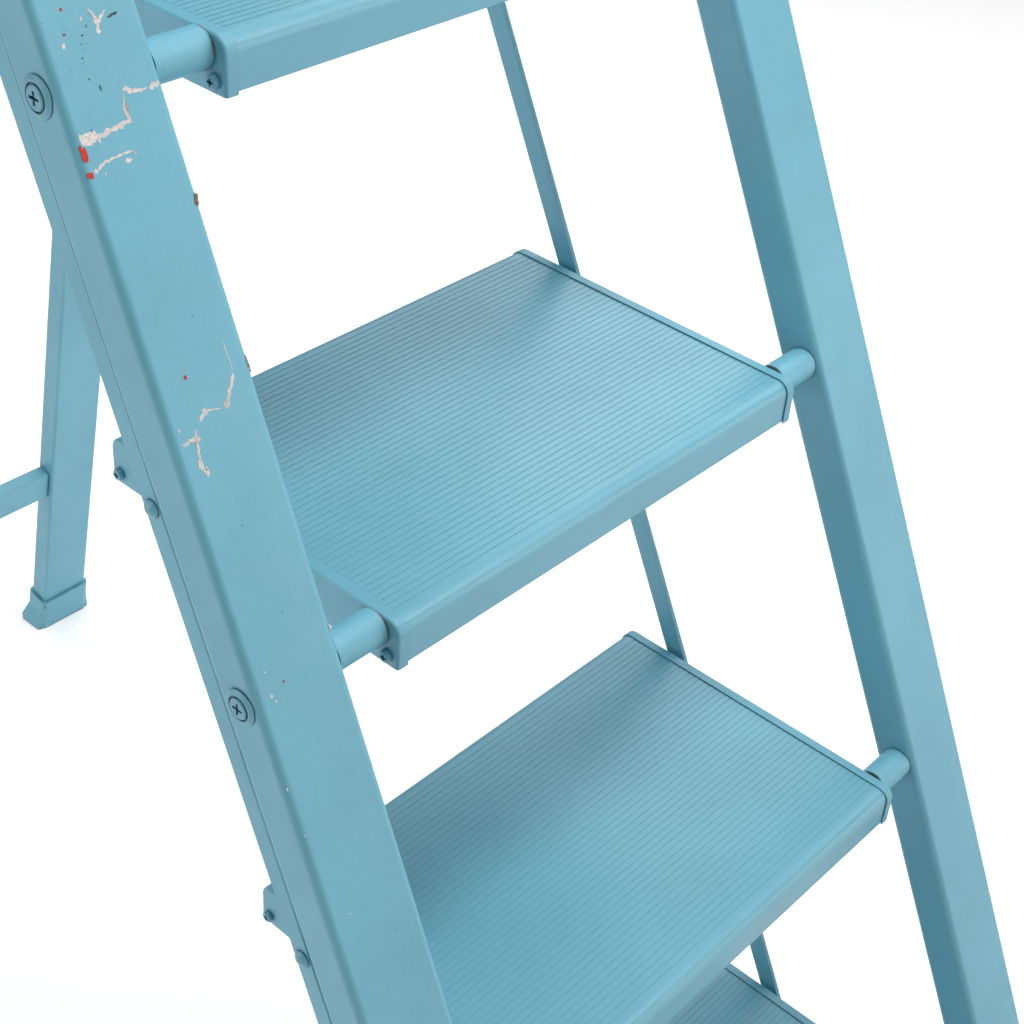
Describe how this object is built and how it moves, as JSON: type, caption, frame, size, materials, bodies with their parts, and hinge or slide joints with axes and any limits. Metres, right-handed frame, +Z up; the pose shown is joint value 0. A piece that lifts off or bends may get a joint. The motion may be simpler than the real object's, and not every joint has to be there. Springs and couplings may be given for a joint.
{
  "type": "folding stepladder",
  "caption": "Folding stepladder with wide ribbed treads on through rods, side link bars that fold the treads together, and a plain rear frame with a crossbar.",
  "frame": {"origin": "centre of the bounding box at the floor", "axes": "+Z up; -Y is the climbing side, so the climber looks along +Y and has +X to the right"},
  "size_m": [0.5006, 1.2024, 1.6734],
  "materials": {
    "painted_aluminium": "satin",
    "painted_steel": "satin",
    "painted_plastic": "satin",
    "foot_plastic": "matte"
  },
  "bodies": {
    "front_frame": {"stile_left": "painted_aluminium", "stile_right": "painted_aluminium", "stile_end_cap_left": "painted_plastic", "stile_end_cap_right": "painted_plastic", "front_foot_left": "foot_plastic", "front_foot_right": "foot_plastic", "rod_1": "painted_steel", "rod_2": "painted_steel", "rod_3": "painted_steel", "rod_4": "painted_steel", "rod_5": "painted_steel", "rod_6": "painted_steel", "spacer_sleeves": "painted_steel", "top_rail": "painted_aluminium", "stile_washers": "painted_steel", "stile_screws": "painted_steel", "hinge_bracket_left": "painted_steel", "hinge_bracket_right": "painted_steel", "bracket_rivets": "painted_steel", "hinge_pins": "painted_steel"},
    "tread_1": {"tread_1": "painted_aluminium", "tread_1_cap_left": "painted_plastic", "tread_1_cap_right": "painted_plastic", "tread_1_cap_screws": "painted_steel"},
    "tread_2": {"tread_2": "painted_aluminium", "tread_2_cap_left": "painted_plastic", "tread_2_cap_right": "painted_plastic", "tread_2_cap_screws": "painted_steel"},
    "tread_3": {"tread_3": "painted_aluminium", "tread_3_cap_left": "painted_plastic", "tread_3_cap_right": "painted_plastic", "tread_3_cap_screws": "painted_steel"},
    "tread_4": {"tread_4": "painted_aluminium", "tread_4_cap_left": "painted_plastic", "tread_4_cap_right": "painted_plastic", "tread_4_cap_screws": "painted_steel"},
    "tread_5": {"tread_5": "painted_aluminium", "tread_5_cap_left": "painted_plastic", "tread_5_cap_right": "painted_plastic", "tread_5_cap_screws": "painted_steel"},
    "tread_6": {"tread_6": "painted_aluminium", "tread_6_cap_left": "painted_plastic", "tread_6_cap_right": "painted_plastic", "tread_6_cap_screws": "painted_steel"},
    "link_left": {"link_bar_left": "painted_steel", "link_rivets_left": "painted_steel"},
    "link_right": {"link_bar_right": "painted_steel", "link_rivets_right": "painted_steel"},
    "rear_frame": {"rear_leg_left": "painted_aluminium", "rear_leg_right": "painted_aluminium", "hinge_knuckle_left": "painted_plastic", "hinge_knuckle_right": "painted_plastic", "rest_tube": "painted_aluminium", "crossbar": "painted_aluminium", "rear_foot_left": "foot_plastic", "rear_foot_right": "foot_plastic"}
  },
  "joints": [
    {"name": "tread_6_fold", "type": "hinge", "parent": "front_frame", "child": "tread_6", "pos_m": [0, 0.10511, 1.3928], "axis": [1, 0, 0], "range_deg": [0, 61.5]},
    {"name": "tread_1_fold", "type": "hinge", "parent": "front_frame", "child": "tread_1", "pos_m": [0, -0.46074, 0.2223], "axis": [1, 0, 0], "range_deg": [0, 61.5]},
    {"name": "tread_2_fold", "type": "hinge", "parent": "front_frame", "child": "tread_2", "pos_m": [0, -0.34757, 0.4564], "axis": [1, 0, 0], "range_deg": [0, 61.5]},
    {"name": "tread_3_fold", "type": "hinge", "parent": "front_frame", "child": "tread_3", "pos_m": [0, -0.2344, 0.6905], "axis": [1, 0, 0], "range_deg": [0, 61.5]},
    {"name": "tread_4_fold", "type": "hinge", "parent": "front_frame", "child": "tread_4", "pos_m": [0, -0.12123, 0.9246], "axis": [1, 0, 0], "range_deg": [0, 61.5]},
    {"name": "tread_5_fold", "type": "hinge", "parent": "front_frame", "child": "tread_5", "pos_m": [0, -0.00806, 1.1587], "axis": [1, 0, 0], "range_deg": [0, 61.5]},
    {"name": "link_left_pivot", "type": "hinge", "parent": "tread_6", "child": "link_left", "pos_m": [0, 0.25211, 1.3823], "axis": [1, 0, 0], "range_deg": [-61.5, 0]},
    {"name": "link_right_pivot", "type": "hinge", "parent": "tread_6", "child": "link_right", "pos_m": [0, 0.25211, 1.3823], "axis": [1, 0, 0], "range_deg": [-61.5, 0]},
    {"name": "rear_frame_fold", "type": "hinge", "parent": "front_frame", "child": "rear_frame", "pos_m": [0, 0.23016, 1.56877], "axis": [1, 0, 0], "range_deg": [-38.2, 0]}
  ],
  "couplings": [
    {"joint": "tread_1_fold", "follows": "tread_6_fold", "ratio": 1},
    {"joint": "tread_2_fold", "follows": "tread_6_fold", "ratio": 1},
    {"joint": "tread_3_fold", "follows": "tread_6_fold", "ratio": 1},
    {"joint": "tread_4_fold", "follows": "tread_6_fold", "ratio": 1},
    {"joint": "tread_5_fold", "follows": "tread_6_fold", "ratio": 1},
    {"joint": "link_left_pivot", "follows": "tread_6_fold", "ratio": -1},
    {"joint": "link_right_pivot", "follows": "tread_6_fold", "ratio": -1},
    {"joint": "rear_frame_fold", "follows": "tread_6_fold", "ratio": -0.621}
  ]
}
